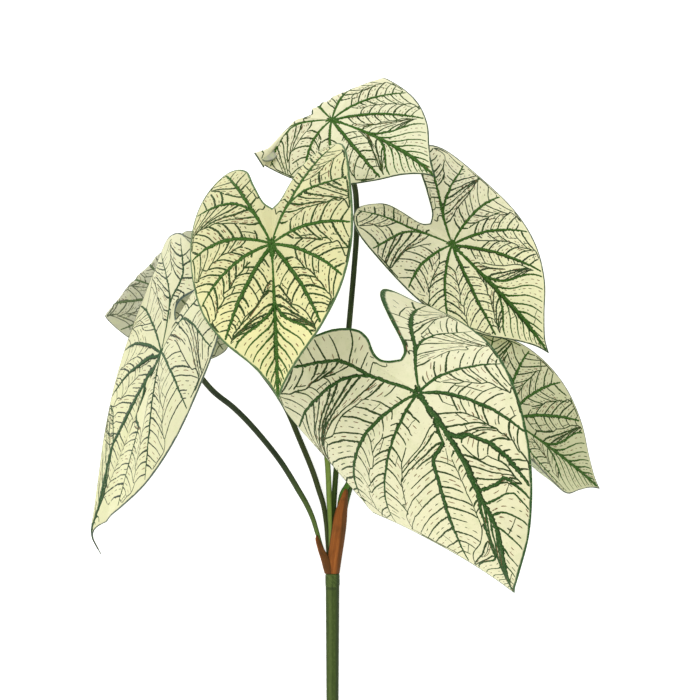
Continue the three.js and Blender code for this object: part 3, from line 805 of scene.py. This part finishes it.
# ---- blades ----
RIM_POINTS = 400  # on each side's margin, to measure from
NUDGE = 0.05  # short way to find which way a face looks
LIFT_EDGE = -0.07  # of a vein's edges over the blade's face, and of the rest of its section
LIFT_KEEL = -0.14
LIFT_RIDGE = 0.1
RIDGE_SHARE = 0.16  # how much higher a ridge is for each millimetre of half width
WIDE_BENEATH = 0.36  # only veins with half widths over this show beneath, for a girth of 1
LEFT, RIDGE, RIGHT, KEEL = range(4)  # rows of a vein's section, and back to the left


def net_piece(name, leaf, settings, strands, under):
    """The veins of one face, as closed ridges that lie on it; beneath, the wider ones in longer steps."""
    if under:
        strands = [strand for strand in strands if strand[:, 7].max() > WIDE_BENEATH * leaf["girth"]]
        strands = [np.vstack([strand[:-1:2], strand[-1]]) for strand in strands]
    rows = np.vstack(strands)
    number = np.repeat(range(len(strands)), [len(strand) for strand in strands])
    x, y, half, quilt, rib, way_x, way_y, left, right, tone = rows.T
    size = (left + right) / 2
    rise = LIFT_RIDGE + RIDGE_SHARE * size
    shown = 1 - LIFT_EDGE / rise  # the edges lie sunk, so a vein is made this much wider
    sections = []
    for shift in (left * shown, 0 * left, -right * shown):
        at_x = x - way_y * shift
        at_y = y + way_x * shift
        at_half = np.where(at_y < 0, at_x > 0, half > 0).astype(int)
        sections.append(face_points(leaf, at_x, at_y, at_half))
    points, normals = (list(part) for part in zip(*sections))
    middle = normals[LEFT] + normals[RIGHT]
    normals[RIDGE] = middle / np.linalg.norm(middle, axis=1)[:, None]
    closed = size == 0
    lifts = [0 * size + LIFT_EDGE, np.where(closed, LIFT_EDGE, rise), 0 * size + LIFT_EDGE]
    points.append(points[RIDGE])
    normals.append(normals[RIDGE])
    lifts.append(np.where(closed, LIFT_EDGE, LIFT_KEEL))
    half_thick = settings.thickness / MM / 2
    if under:
        offsets = [quilt - half_thick - rib - lift for lift in lifts]
    else:
        offsets = [quilt + half_thick + lift for lift in lifts]
    places = np.array([p + n * o[:, None] for p, n, o in zip(points, normals, offsets)])

    bm, across, along = grid(len(rows) - 1, 4, "look")
    column = np.rint(across * (len(rows) - 1)).astype(int)
    part = np.rint(along * 4).astype(int) % 4
    move_to(bm, placed(places[part, column]))
    fill_layer(bm, "look", np.stack([tone[column], part != RIDGE, size[column]], -1))
    ends = set(np.flatnonzero(np.diff(number)))
    bm.verts.index_update()
    bridges = [face for face in bm.faces if min(column[vert.index] for vert in face.verts) in ends]
    bmesh.ops.delete(bm, geom=bridges, context="FACES")
    bmesh.ops.remove_doubles(bm, verts=bm.verts, dist=1e-6)
    bmesh.ops.recalc_face_normals(bm, faces=bm.faces)
    kind = "ribs" if under else "veins"
    material = vein_material(f"{kind}_{name}", LOOKS[name], under)
    finished(f"{kind}_{name}", bm, material, f"leaf_{name}")


def face_points(leaf, x, y, half):
    """Points of the sheet in the middle of a blade, and which way its face looks there."""
    points = bent_points(leaf, x, y, half)
    right = bent_points(leaf, x + NUDGE, y, half) - points
    back = bent_points(leaf, x, y + NUDGE, half) - points
    normals = np.cross(right, back)
    return points, normals / np.linalg.norm(normals, axis=1)[:, None]


def vein_material(name, look, under):
    """Green on the main veins, darker and broken on the fine ones, with paler feathered edges."""
    shader = Shader(name)
    tone, edge, size = shader.parts(shader.attribute("look"))
    place = shader.make("ShaderNodeTexCoord", {}, {}, "Object")
    patches = shader.noise(place, 220.0, 2.0)
    grain = shader.noise(place, 1500.0, 2.0)
    rib = shader.blend(edge.rises(0.25, 0.95) * 0.75, look["rib"], look["twig"])
    twig = shader.blend(patches.rises(0.35, 0.7) * 0.5, look["twig"], look["rib"])
    colour = shader.blend(tone.rises(0.0, 1.0), twig, rib)
    colour = shader.blend(tone.rises(1.0, 2.0), colour, look["dash"])
    colour = shader.blend(grain.rises(0.45, 0.8) * 0.25, colour, look["halo"])
    if under:
        colour = shader.blend(0.7, colour, look["under"])
    return shader.finish(
        Base_Color=colour,
        Roughness=0.55 + grain * 0.2,
        Normal=shader.bump(grain, 0.0002, 0.4),
        Specular_IOR_Level=0.12,
    )


def blade_piece(name, leaf, settings):
    """A blade as a closed sheet; its vertices keep their place in the flat leaf, for the material."""
    bm, across, reach = grid(settings.spokes, settings.rings, "flat", "shape", "normal")
    steps = (across * 2 - 1) * VEIN_ENDS[-1]
    sector = np.sign(steps) * np.interp(np.abs(steps), VEIN_ENDS, range(len(VEIN_ENDS)))
    x, y, half = flat_points(leaf, sector, reach)
    inset = margin_distance(leaf, x, y, sector)
    fill_layer(bm, "flat", np.stack([x, y, inset], -1) / (leaf["length"] / VEIN_LENGTH))
    fill_layer(bm, "shape", np.stack([quilt_of(sector, reach), rib_of(sector, reach), 0 * x], -1))
    move_to(bm, placed(bent_points(leaf, x, y, half)))
    bmesh.ops.remove_doubles(bm, verts=bm.verts, dist=1e-5)
    bm.normal_update()
    fill_layer(bm, "normal", [vert.normal for vert in bm.verts])
    grown = bmesh.ops.solidify(bm, geom=bm.faces[:], thickness=0)["geom"]
    under = {vert for vert in grown if isinstance(vert, bmesh.types.BMVert)}
    shape = bm.verts.layers.float_vector["shape"]
    normal = bm.verts.layers.float_vector["normal"]
    half_thick = settings.thickness / MM / 2
    for vert in bm.verts:
        quilt, rib, _ = vert[shape]
        lift = quilt - half_thick - rib if vert in under else quilt + half_thick
        vert.co += vert[normal] * (lift * MM)
        vert[shape] = (float(vert in under), 0, 0)  # the material asks only for the side
    finished(f"blade_{name}", bm, blade_material(name), f"leaf_{name}")


def margin_distance(leaf, x, y, sector):
    """How far points of the flat leaf are from the margin of their own side."""
    rim = np.linspace(0, SECTORS, RIM_POINTS)
    gaps = np.zeros(len(x))
    for side in (-1, 1):
        rim_x, rim_y, _ = flat_points(leaf, side * (rim + 1e-9), np.ones(len(rim)))
        own = sector * side >= 0
        gaps[own] = np.hypot(x[own, None] - rim_x, y[own, None] - rim_y).min(axis=1)
    return gaps


def blade_material(name):
    """Cream with a green margin above, dull green beneath."""
    look = LOOKS[name]
    shader = Shader(f"blade_{name}")
    x, y, inset = shader.parts(shader.attribute("flat"))
    under, _, _ = shader.parts(shader.attribute("shape"))
    here = shader.join(x, y, 0.0)
    patches = shader.noise(here, 0.045, 3.0)
    mottle = shader.noise(here, 0.16, 3.0, 0.6)
    grain = shader.noise(here, 1.4, 2.0)
    specks = shader.noise(here, 0.9, 1.0)

    # the cream runs from the tip colour toward the lobe colour; where a lobe colour is darker, as on the
    # front leaf, it is partly painted shade
    toward_lobe = (y + 25.0).rises(-45.0, 55.0)
    cream = shader.blend(toward_lobe * 0.8 + patches.rises(0.4, 0.6) * 0.2, look["tip"], look["lobe"])
    cream = shader.blend(mottle.rises(0.45, 0.75) * 0.35, cream, look["halo"])
    cream = shader.blend(specks.rises(0.68, 0.75) * 0.35, cream, look["dash"])
    wide = look["margin"]
    band = 1 - (inset + (mottle - 0.5) * 1.2 * wide).rises(0.75 * wide, 1.25 * wide)
    flecks = grain.rises(0.6, 0.72) * 0.6
    edging = shader.blend(flecks, look["edge"], look["halo"])
    top = shader.blend(band, cream, edging)
    below = shader.blend(mottle.rises(0.35, 0.7) * 0.5, look["under"], look["halo"])
    below = shader.blend(band * 0.6, below, look["edge"])
    return shader.finish(
        Base_Color=shader.blend(under, top, below),
        Roughness=0.6 + grain * 0.16,
        Normal=shader.bump(grain + mottle * 0.6, 0.00025, 0.5),
        Specular_IOR_Level=0.25,
    )


def look_of(**changes):
    """Linear colours of a leaf and the width of its green margin: its own, and the usual ones."""
    usual = dict(
        tip=(0.87, 0.82, 0.45), lobe=(0.82, 0.79, 0.56), halo=(0.62, 0.68, 0.34),
        rib=(0.028, 0.11, 0.006), twig=(0.02, 0.045, 0.008), dash=(0.2, 0.1, 0.04),
        edge=(0.09, 0.17, 0.06), margin=0.8, under=(0.5, 0.52, 0.36),
    )
    return {**usual, **changes}


# Where a leaf's creams are darker than the usual ones, as for the front leaf's lobes and the left,
# lower_right and back_left leaves, that is partly the fabric's own tone and partly painted shade.
LOOKS = {
    "front": look_of(tip=(0.84, 0.8, 0.38), lobe=(0.66, 0.64, 0.36), margin=1.5),
    "centre": look_of(
        tip=(0.88, 0.85, 0.53), lobe=(0.85, 0.83, 0.57), rib=(0.018, 0.085, 0.01), edge=(0.03, 0.1, 0.02),
        margin=1.2),
    "upper_right": look_of(
        tip=(0.94, 0.92, 0.55), lobe=(0.81, 0.79, 0.54), twig=(0.018, 0.038, 0.014),
        edge=(0.03, 0.07, 0.03), margin=1.1),
    "top": look_of(
        tip=(0.8, 0.8, 0.53), lobe=(0.81, 0.78, 0.52), under=(0.45, 0.45, 0.36), edge=(0.03, 0.07, 0.03),
        margin=1.1),
    "left": look_of(
        tip=(0.75, 0.74, 0.43), lobe=(0.69, 0.68, 0.44), rib=(0.02, 0.08, 0.025),
        twig=(0.02, 0.035, 0.024), edge=(0.06, 0.1, 0.08)),
    "lower_right": look_of(tip=(0.6, 0.61, 0.35), lobe=(0.72, 0.71, 0.45), edge=(0.035, 0.06, 0.05)),
    "back_left": look_of(
        tip=(0.5, 0.5, 0.35), lobe=(0.6, 0.61, 0.44), rib=(0.09, 0.14, 0.06), twig=(0.12, 0.13, 0.09),
        dash=(0.26, 0.22, 0.15), edge=(0.05, 0.08, 0.05), under=(0.33, 0.33, 0.25)),
}


class BladeSettings(bpy.types.PropertyGroup):
    thickness: bpy.props.FloatProperty(
        name="Thickness", description="Blade between its veins", default=0.8 * MM, unit="LENGTH")
    spokes: bpy.props.IntProperty(name="Spokes", description="Columns of faces", default=180)
    rings: bpy.props.IntProperty(name="Rings", description="Rows from petiole to margin", default=48)
    seed: bpy.props.IntProperty(name="Seed", description="Chooses another net of fine veins", default=3)


class SPRAY_OT_blades(bpy.types.Operator):
    """Build the seven leaf blades with the veins on both faces"""

    bl_idname = "spray.blades"
    bl_label = "Build blades"

    def execute(self, context):
        settings = context.scene.spray.blade
        for number, (name, leaf) in enumerate(LEAVES.items()):
            blade_piece(name, leaf, settings)
            strands = strands_of(leaf, settings.seed + number)
            for under in (False, True):
                net_piece(name, leaf, settings, strands, under)
        return {"FINISHED"}


# ---- petioles ----
PETIOLE_FOOT_RADIUS = 1.4
PETIOLE_RADIUS = 2.2
PETIOLE_TOP_RADIUS = 1.8
FOOT_LENGTH = 70
FOOT_RISE = 4
NECK_LENGTH = 60
BUNDLE_RADIUS = 3.2
COLLAR_RADIUS = 5.6
PETIOLE_STEP = 2.5
ROUTE_STEPS = 40
PETIOLE_SIDES = 36
PETIOLE_RIDGE = 0.03
PETIOLE_RIDGES = 9


def evenly(line, step):
    """Points about a step apart along the line, and how far along it they are."""
    run = run_along(line)
    marks = np.linspace(0, run[-1], round(run[-1] / step) + 1)
    return np.stack([np.interp(marks, run, axis) for axis in line.T], -1), marks


def petiole_line(name, leaf):
    """The middle of a petiole, from its foot in the collar to its seat under the blade."""
    settings = bpy.context.scene.spray.blade
    out = 0 if name == "top" else BUNDLE_RADIUS
    angle = math.radians(leaf["foot"])
    foot = np.array([out * math.cos(angle), STEM_TOP + SEAT_GAP, COLLAR_RADIUS + out * math.sin(angle)])
    shoot = np.array([foot[0], STEM_TOP + FOOT_RISE, foot[2]])
    steepest = math.radians(max(0, *leaf["fold"]))
    under = settings.thickness / MM / 2 + RIB + SEAT_GAP
    under += PETIOLE_TOP_RADIUS * math.tan(steepest)
    down = attitude(leaf) @ [0, 0, -1]
    seat = leaf["at"] + down * under
    neck = leaf["at"] + down * (under + leaf["neck"])
    line = centripetal(np.array([foot, shoot, *leaf["route"], neck, seat]), ROUTE_STEPS)
    return evenly(line, PETIOLE_STEP)


class SPRAY_OT_petioles(bpy.types.Operator):
    """Build the seven petioles"""

    bl_idname = "spray.petioles"
    bl_label = "Build petioles"

    def execute(self, context):
        settings = context.scene.spray.petiole
        for name, leaf in LEAVES.items():
            middle, run = petiole_line(name, leaf)
            grown = smoothstep(run, 0, FOOT_LENGTH)
            thinned = smoothstep(run, run[-1] - NECK_LENGTH, run[-1])
            wide = PETIOLE_FOOT_RADIUS + (PETIOLE_RADIUS - PETIOLE_FOOT_RADIUS) * grown
            wide = wide + (PETIOLE_TOP_RADIUS - wide) * thinned

            def radius(turn, rows):
                ridges = PETIOLE_RIDGE * np.cos(PETIOLE_RIDGES * turn)
                return wide[rows] - PETIOLE_RIDGE + ridges

            bm = tube(middle, radius, PETIOLE_SIDES)
            material = petiole_material(name, settings, run[-1])
            finished(f"stalk_{name}", bm, material, f"petiole_{name}")
        return {"FINISHED"}


# Linear colours of a petiole at its foot and higher up.
PETIOLE_LOOKS = {
    "front": ((0.22, 0.33, 0.055), (0.17, 0.26, 0.04)),
    "centre": ((0.08, 0.22, 0.012), (0.06, 0.19, 0.012)),
    "upper_right": ((0.05, 0.12, 0.006), (0.08, 0.17, 0.012)),
    "top": ((0.05, 0.1, 0.008), (0.012, 0.024, 0.005)),
    "left": ((0.12, 0.2, 0.035), (0.012, 0.024, 0.01)),
    "lower_right": ((0.06, 0.12, 0.02), (0.05, 0.11, 0.03)),
    "back_left": ((0.05, 0.065, 0.014), (0.035, 0.05, 0.012)),
}


def petiole_material(name, settings, length):
    foot, top = PETIOLE_LOOKS[name]
    shader = Shader(f"stalk_{name}")
    around_x, around_y, run = shader.parts(shader.attribute("along"))
    streaks = shader.noise(shader.join(around_x * 6, around_y * 6, run * 0.035), 1.0, 3.0)
    mottle = shader.noise(shader.join(around_x * 2, around_y * 2, run * 0.25), 1.0, 2.0)
    colour = shader.blend(run.rises(10.0, length * 0.45), foot, top)
    pale = shader.blend(0.35, colour, tuple(settings.streak))
    dark_and_shade = shader.blend(0.75, colour, tuple(settings.dark_and_shade))
    colour = shader.blend(streaks.rises(0.4, 0.65) * 0.5, colour, pale)
    colour = shader.blend(mottle.rises(0.55, 0.75) * 0.4, colour, dark_and_shade)
    # painted shade: both flanks of the stalk, as seen from above, turn dark
    colour = shader.blend((around_x * around_x).rises(0.15, 0.95) * 0.8, colour, dark_and_shade)
    return shader.finish(
        Base_Color=colour,
        Roughness=0.5 + streaks * 0.2,
        Normal=shader.bump(streaks + mottle * 0.4, 0.0003, 0.5),
        Specular_IOR_Level=0.2,
    )


class PetioleSettings(bpy.types.PropertyGroup):
    streak: colour_property("Streaks", "Pale lengthwise streaks", (0.3, 0.42, 0.14))
    # the flank colour gives the stalk's dark patches, and also painted shade on both of its flanks
    dark_and_shade: colour_property("Flanks", "Dark sides and patches", (0.006, 0.012, 0.003))


# ---- sheaths ----
SHEATH_WALL = 0.7
SHEATH_STEPS = 60
PLEAT = 0.1
PLEAT_TURNS = 46


class SheathSettings(bpy.types.PropertyGroup):
    rust: colour_property("Rust", "Body of the sheath", (0.3, 0.088, 0.015))
    straw: colour_property("Straw", "Its lighter fibres", (0.52, 0.175, 0.036))
    # umber gives the scale's darker fibres and edges, and also painted shade over one half of it
    umber_and_shade: colour_property("Umber", "Its darker fibres and edges", (0.06, 0.03, 0.006))


def sheath_piece(name, sheath, settings):
    """A pleated scale with some wall, blunt at its tip."""
    bm, across, along = grid(48, 70, "along")
    centres = np.array(sheath["at"], float)
    spans = np.column_stack([sheath["radius"], sheath["edges"]])
    t = along * (1 - sheath["blunt"] * (2 * across - 1) ** 2)
    middle = curve_at(centres, t)
    arc = curve_at(spans, t)
    angle = np.radians(arc[:, 1] + (arc[:, 2] - arc[:, 1]) * across)
    pleat = PLEAT * np.sin(across * PLEAT_TURNS + 2 * np.sin(along * 5)) * np.sin(np.pi * across)
    out = np.stack([np.cos(angle), 0 * angle, np.sin(angle)], -1)
    places = middle + out * (arc[:, 0] - SHEATH_WALL / 2 + pleat)[:, None]
    move_to(bm, placed(places))
    fill_layer(bm, "along", np.stack([across, along, 0 * along], -1))
    bm.normal_update()
    if sum(face.normal.dot(Vector(out[0])) for face in bm.faces) < 0:
        bmesh.ops.reverse_faces(bm, faces=bm.faces)
    bmesh.ops.solidify(bm, geom=bm.faces[:], thickness=SHEATH_WALL * MM)
    finished(f"scale_{name}", bm, sheath_material(name, settings), f"sheath_{name}")


def curve_at(points, t):
    """Points of the curve through some points, at shares of its parameter."""
    line = centripetal(points, SHEATH_STEPS)
    marks = np.linspace(0, 1, len(line))
    return np.stack([np.interp(t, marks, axis) for axis in line.T], -1)


def sheath_material(name, settings):
    shader = Shader(f"scale_{name}")
    across, along, _ = shader.parts(shader.attribute("along"))
    fibres = shader.noise(shader.join(across * 30, along * 1.6, 0.0), 1.0, 4.0, 0.6)
    blotch = shader.noise(shader.join(across * 3, along * 6, 3.0), 1.0, 3.0)
    rust, straw, umber_and_shade = (tuple(colour) for colour in (settings.rust, settings.straw, settings.umber_and_shade))
    colour = shader.blend(fibres.rises(0.42, 0.7) * 0.8, rust, straw)
    colour = shader.blend(blotch.rises(0.45, 0.75) * 0.5, colour, umber_and_shade)
    # painted shade: the half of the scale toward its first edge turns umber
    shaded = 1 - (across + (fibres - 0.5) * 0.1).rises(0.44, 0.56)
    colour = shader.blend(shaded * 0.7, colour, umber_and_shade)
    edge = (across - 0.5) * (across - 0.5) * 4
    colour = shader.blend(edge.rises(0.6, 1.0) * 0.6, colour, umber_and_shade)
    return shader.finish(
        Base_Color=colour,
        Roughness=0.7 + fibres * 0.15,
        Normal=shader.bump(fibres, 0.0006, 0.8),
        Specular_IOR_Level=0.2,
    )


class SPRAY_OT_sheaths(bpy.types.Operator):
    """Build the two papery sheaths"""

    bl_idname = "spray.sheaths"
    bl_label = "Build sheaths"

    def execute(self, context):
        for name, sheath in SHEATHS.items():
            sheath_piece(name, sheath, context.scene.spray.sheath)
        return {"FINISHED"}


# ---- stem ----
STEM_LENGTH = 182.5
STEM_TOP_RADIUS = 5.3
STEM_END_RADIUS = 4.2
COLLAR_LENGTH = 10
COLLAR_BEVEL = 2
CUT_EDGE = 0.4
STEM_STEP = 0.5
STEM_SIDES = 64
TAPE_RIDGE = 0.08  # height of the tape's overlap


class StemSettings(bpy.types.PropertyGroup):
    green: colour_property("Green", "The wrapping tape", (0.055, 0.09, 0.016))
    # light green gives the tape's paler grain and the scratches on its collar, and also a painted
    # highlight stripe
    light: colour_property("Light green", "Its stretched places", (0.13, 0.185, 0.045))
    # dark green gives the tape's dark streaks, and also painted shade on its flanks and in the crease
    # below the collar
    dark_and_shade: colour_property("Dark green", "Its creases and flanks", (0.025, 0.042, 0.011))
    pitch: bpy.props.FloatProperty(
        name="Tape pitch", description="Length of one turn of the tape", default=9 * MM, unit="LENGTH")


def stem_material(settings):
    shader = Shader("tape")
    around_x, around_y, run = shader.parts(shader.attribute("along"))
    grain = shader.noise(shader.join(around_x * 3, around_y * 3, run * 0.3), 1.0, 4.0, 0.6)
    streaks = shader.noise(shader.join(around_x * 5, around_y * 5, run * 0.04), 1.0, 3.0)
    scratches = shader.noise(shader.join(run * 1.1 + around_x * 5, around_x * 0.8, 2.0), 1.0, 2.0)
    green, light, dark_and_shade = (tuple(colour) for colour in (settings.green, settings.light, settings.dark_and_shade))
    colour = shader.blend(grain.rises(0.45, 0.75) * 0.5, green, light)
    colour = shader.blend(streaks.rises(0.5, 0.75) * 0.6, colour, dark_and_shade)
    # painted highlight: a pale lengthwise stripe just left of the middle of the stem
    highlight_stripe = 1 - ((around_x - 0.35) * (around_x - 0.35) * 6).rises(0.0, 0.6)
    colour = shader.blend(highlight_stripe * 0.4, colour, light)
    collar = 1 - run.rises(COLLAR_LENGTH - 1.0, COLLAR_LENGTH + 2.0)
    colour = shader.blend(scratches.rises(0.5, 0.62) * collar * 0.7, colour, light)
    # painted shade: a dark band in the crease just below the collar, and dark flanks down the stem
    crease_shade = 1 - ((run - COLLAR_LENGTH - 1) * (run - COLLAR_LENGTH - 1) * 0.4).rises(0.0, 1.0)
    shaded_flanks = ((around_x - 0.2) * (around_x - 0.2)).rises(0.2, 0.9)
    colour = shader.blend((shaded_flanks * 0.85).most(crease_shade * 0.6), colour, dark_and_shade)
    return shader.finish(
        Base_Color=colour,
        Roughness=0.6 + grain * 0.2,
        Normal=shader.bump(grain + scratches * collar, 0.0004, 0.6),
        Specular_IOR_Level=0.2,
    )


class SPRAY_OT_stem(bpy.types.Operator):
    """Build the wrapped stem"""

    bl_idname = "spray.stem"
    bl_label = "Build stem"

    def execute(self, context):
        settings = context.scene.spray.stem
        rounding = STEM_LENGTH - CUT_EDGE
        run = np.append(np.arange(0, rounding, STEM_STEP), [rounding, STEM_LENGTH])
        middle = np.stack([
            0 * run,
            STEM_TOP - run,
            np.interp(run, [COLLAR_LENGTH - COLLAR_BEVEL, STEM_LENGTH], [COLLAR_RADIUS, STEM_END_RADIUS]),
        ], -1)
        knees = [0, COLLAR_BEVEL, COLLAR_LENGTH - COLLAR_BEVEL, COLLAR_LENGTH, rounding, STEM_LENGTH]
        wide = np.interp(run, knees, [
            STEM_TOP_RADIUS, COLLAR_RADIUS, COLLAR_RADIUS, STEM_TOP_RADIUS, STEM_END_RADIUS,
            STEM_END_RADIUS - CUT_EDGE,
        ])
        pitch = settings.pitch / MM

        def radius(turn, rows):
            overlap = (run[rows] / pitch + turn / (2 * np.pi)) % 1
            return wide[rows] - TAPE_RIDGE * overlap

        finished("tape", tube(middle, radius, STEM_SIDES), stem_material(settings), "stem")
        return {"FINISHED"}


# ---- stage ----
CAMERA_HEIGHT = 2000
CAMERA_AT = [13.5, 168]
FRAME_PIXELS = 700
FOCAL_PIXELS = 2586.7
SENSOR = 36
FLOOR_SIZE = 4  # these four in metres
FLOOR_HEIGHT = -0.0005
KEY_SIZE = 1.6
KEY_AT = (-0.9, 0.9, 2.2)


class StageSettings(bpy.types.PropertyGroup):
    floor: colour_property("Floor", "Plain floor", (0.88, 0.88, 0.88))
    glow: bpy.props.FloatProperty(
        name="Glow", description="Light that the floor gives off, so that shadows stay faint", default=0.7)
    sky: bpy.props.FloatProperty(name="Sky", description="Even light from all round", default=0.78)
    key: bpy.props.FloatProperty(name="Key", description="Large soft light", default=18.0, unit="POWER")


class SPRAY_OT_stage(bpy.types.Operator):
    """Build the floor, the lights and the camera"""

    bl_idname = "spray.stage"
    bl_label = "Build stage"

    def execute(self, context):
        settings = context.scene.spray.stage
        bm = bmesh.new()
        bmesh.ops.create_grid(bm, x_segments=1, y_segments=1, size=FLOOR_SIZE)
        bmesh.ops.translate(bm, verts=bm.verts, vec=(0, 0, FLOOR_HEIGHT))
        mesh = bpy.data.meshes.new("floor")
        bm.to_mesh(mesh)
        bm.free()
        shader = Shader("floor")
        mesh.materials.append(shader.finish(
            Base_Color=(*settings.floor, 1),
            Roughness=0.9,
            Emission_Color=(1, 1, 1, 1),
            Emission_Strength=settings.glow,
        ))
        floor = bpy.data.objects.new("floor", mesh)
        context.collection.objects.link(floor)

        world = bpy.data.worlds.new("sky")
        world.use_nodes = True
        background = world.node_tree.nodes["Background"]
        background.inputs["Color"].default_value = (1, 1, 1, 1)
        background.inputs["Strength"].default_value = settings.sky
        context.scene.world = world
        light = bpy.data.lights.new("key", "AREA")
        light.shape = "DISK"
        light.size = KEY_SIZE
        light.energy = settings.key
        lamp = bpy.data.objects.new("key", light)
        lamp.location = KEY_AT
        lamp.rotation_euler = (-lamp.location).to_track_quat("-Z", "Y").to_euler()
        context.collection.objects.link(lamp)

        lens = bpy.data.cameras.new("camera")
        lens.type = "PERSP"
        lens.sensor_width = SENSOR
        lens.lens = SENSOR * FOCAL_PIXELS / FRAME_PIXELS
        camera = bpy.data.objects.new("camera", lens)
        camera.location = placed([*CAMERA_AT, CAMERA_HEIGHT])
        context.collection.objects.link(camera)
        context.scene.camera = camera
        context.scene.view_settings.view_transform = "Standard"
        return {"FINISHED"}


class SpraySettings(bpy.types.PropertyGroup):
    blade: bpy.props.PointerProperty(type=BladeSettings)
    petiole: bpy.props.PointerProperty(type=PetioleSettings)
    sheath: bpy.props.PointerProperty(type=SheathSettings)
    stem: bpy.props.PointerProperty(type=StemSettings)
    stage: bpy.props.PointerProperty(type=StageSettings)


OPERATORS = [SPRAY_OT_blades, SPRAY_OT_petioles, SPRAY_OT_sheaths, SPRAY_OT_stem, SPRAY_OT_stage]


class SPRAY_PT_panel(bpy.types.Panel):
    bl_idname = "SPRAY_PT_panel"
    bl_label = "Caladium spray"
    bl_space_type = "VIEW_3D"
    bl_region_type = "UI"
    bl_category = "Spray"

    def draw(self, context):
        for group in SpraySettings.__annotations__:
            box = self.layout.box()
            settings = getattr(context.scene.spray, group)
            for name in type(settings).__annotations__:
                box.prop(settings, name)
        for operator in OPERATORS:
            self.layout.operator(operator.bl_idname)


CLASSES = [
    BladeSettings, PetioleSettings, SheathSettings, StemSettings, StageSettings, SpraySettings,
    *OPERATORS, SPRAY_PT_panel,
]


def register():
    for item in CLASSES:
        bpy.utils.register_class(item)
    bpy.types.Scene.spray = bpy.props.PointerProperty(type=SpraySettings)


def unregister():
    del bpy.types.Scene.spray
    for item in reversed(CLASSES):
        bpy.utils.unregister_class(item)


def main():
    register()
    bpy.ops.spray.blades()
    bpy.ops.spray.petioles()
    bpy.ops.spray.sheaths()
    bpy.ops.spray.stem()
    bpy.ops.spray.stage()


if __name__ == "__main__":
    main()
